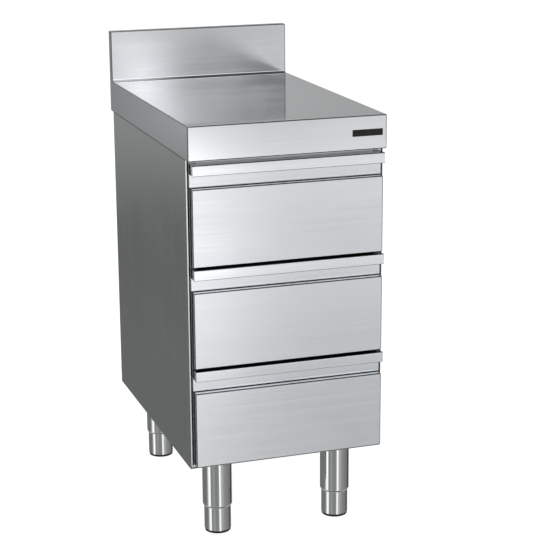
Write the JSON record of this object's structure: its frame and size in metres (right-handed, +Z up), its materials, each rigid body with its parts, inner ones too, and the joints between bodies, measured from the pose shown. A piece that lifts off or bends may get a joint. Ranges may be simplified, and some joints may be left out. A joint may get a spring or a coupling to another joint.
{
  "type": "drawer unit",
  "caption": "Stainless steel kitchen base unit with stacked drawers, a worktop with a rear upstand and height-adjustable legs.",
  "frame": {"origin": "on the floor, at the middle of the whole footprint, lips included", "axes": "+Z up, -Y out of the drawers, +X to the right seen from the front"},
  "size_m": [0.4, 0.628, 0.958],
  "materials": {
    "outer_steel": "satin brushed stainless sheet",
    "inner_steel": "matt mill-finish stainless sheet",
    "zinc_steel": "zinc-plated steel",
    "black_rubber": "matt black",
    "badge_plastic": "gloss black"
  },
  "bodies": {
    "carcass": {"worktop": "outer_steel", "worktop_stiffeners": "inner_steel", "badge_plate": "badge_plastic", "left_side_panel": "outer_steel", "right_side_panel": "outer_steel", "back_panel": "inner_steel", "base_panel": "outer_steel", "top_front_rail": "inner_steel", "top_rear_rail": "inner_steel", "left_uprights": "inner_steel", "right_uprights": "inner_steel", "worktop_screws": "zinc_steel", "back_screws": "zinc_steel", "runner_screws": "zinc_steel", "cabinet_runners_top": "zinc_steel", "cabinet_runners_middle": "zinc_steel", "cabinet_runners_bottom": "zinc_steel", "leg_plates": "zinc_steel", "leg_studs": "zinc_steel", "leg_tube_front_left": "outer_steel", "leg_tube_front_right": "outer_steel", "leg_tube_rear_left": "outer_steel", "leg_tube_rear_right": "outer_steel"},
    "top_drawer": {"drawer_front_top": "outer_steel", "front_liner_top": "inner_steel", "drawer_tub_top": "inner_steel", "drawer_walls_top": "inner_steel", "drawer_runners_top": "zinc_steel", "drawer_screws_top": "zinc_steel", "drawer_buffers_top": "black_rubber"},
    "middle_drawer": {"drawer_front_middle": "outer_steel", "front_liner_middle": "inner_steel", "drawer_tub_middle": "inner_steel", "drawer_walls_middle": "inner_steel", "drawer_runners_middle": "zinc_steel", "drawer_screws_middle": "zinc_steel", "drawer_buffers_middle": "black_rubber"},
    "bottom_drawer": {"drawer_front_bottom": "outer_steel", "front_liner_bottom": "inner_steel", "drawer_tub_bottom": "inner_steel", "drawer_walls_bottom": "inner_steel", "drawer_runners_bottom": "zinc_steel", "drawer_screws_bottom": "zinc_steel", "drawer_buffers_bottom": "black_rubber"},
    "top_runner_links": {"middle_runners_top": "zinc_steel"},
    "middle_runner_links": {"middle_runners_middle": "zinc_steel"},
    "bottom_runner_links": {"middle_runners_bottom": "zinc_steel"},
    "front_left_foot": {"foot_sleeve_front_left": "outer_steel", "foot_nut_front_left": "zinc_steel", "foot_pad_front_left": "black_rubber"},
    "front_right_foot": {"foot_sleeve_front_right": "outer_steel", "foot_nut_front_right": "zinc_steel", "foot_pad_front_right": "black_rubber"},
    "rear_left_foot": {"foot_sleeve_rear_left": "outer_steel", "foot_nut_rear_left": "zinc_steel", "foot_pad_rear_left": "black_rubber"},
    "rear_right_foot": {"foot_sleeve_rear_right": "outer_steel", "foot_nut_rear_right": "zinc_steel", "foot_pad_rear_right": "black_rubber"}
  },
  "joints": [
    {"name": "top_drawer_slide", "type": "slide", "parent": "carcass", "child": "top_drawer", "axis": [0, -1, 0], "range_m": [0, 0.46]},
    {"name": "middle_drawer_slide", "type": "slide", "parent": "carcass", "child": "middle_drawer", "axis": [0, -1, 0], "range_m": [0, 0.46]},
    {"name": "bottom_drawer_slide", "type": "slide", "parent": "carcass", "child": "bottom_drawer", "axis": [0, -1, 0], "range_m": [0, 0.46]},
    {"name": "top_link_slide", "type": "slide", "parent": "carcass", "child": "top_runner_links", "axis": [0, -1, 0], "range_m": [0, 0.23]},
    {"name": "middle_link_slide", "type": "slide", "parent": "carcass", "child": "middle_runner_links", "axis": [0, -1, 0], "range_m": [0, 0.23]},
    {"name": "bottom_link_slide", "type": "slide", "parent": "carcass", "child": "bottom_runner_links", "axis": [0, -1, 0], "range_m": [0, 0.23]},
    {"name": "front_left_foot_screw", "type": "slide", "parent": "carcass", "child": "front_left_foot", "axis": [0, 0, 1], "range_m": [-0.02, 0.035]},
    {"name": "front_right_foot_screw", "type": "slide", "parent": "carcass", "child": "front_right_foot", "axis": [0, 0, 1], "range_m": [-0.02, 0.035]},
    {"name": "rear_left_foot_screw", "type": "slide", "parent": "carcass", "child": "rear_left_foot", "axis": [0, 0, 1], "range_m": [-0.02, 0.035]},
    {"name": "rear_right_foot_screw", "type": "slide", "parent": "carcass", "child": "rear_right_foot", "axis": [0, 0, 1], "range_m": [-0.02, 0.035]}
  ],
  "couplings": [
    {"joint": "top_link_slide", "follows": "top_drawer_slide", "ratio": 0.5},
    {"joint": "middle_link_slide", "follows": "middle_drawer_slide", "ratio": 0.5},
    {"joint": "bottom_link_slide", "follows": "bottom_drawer_slide", "ratio": 0.5}
  ]
}
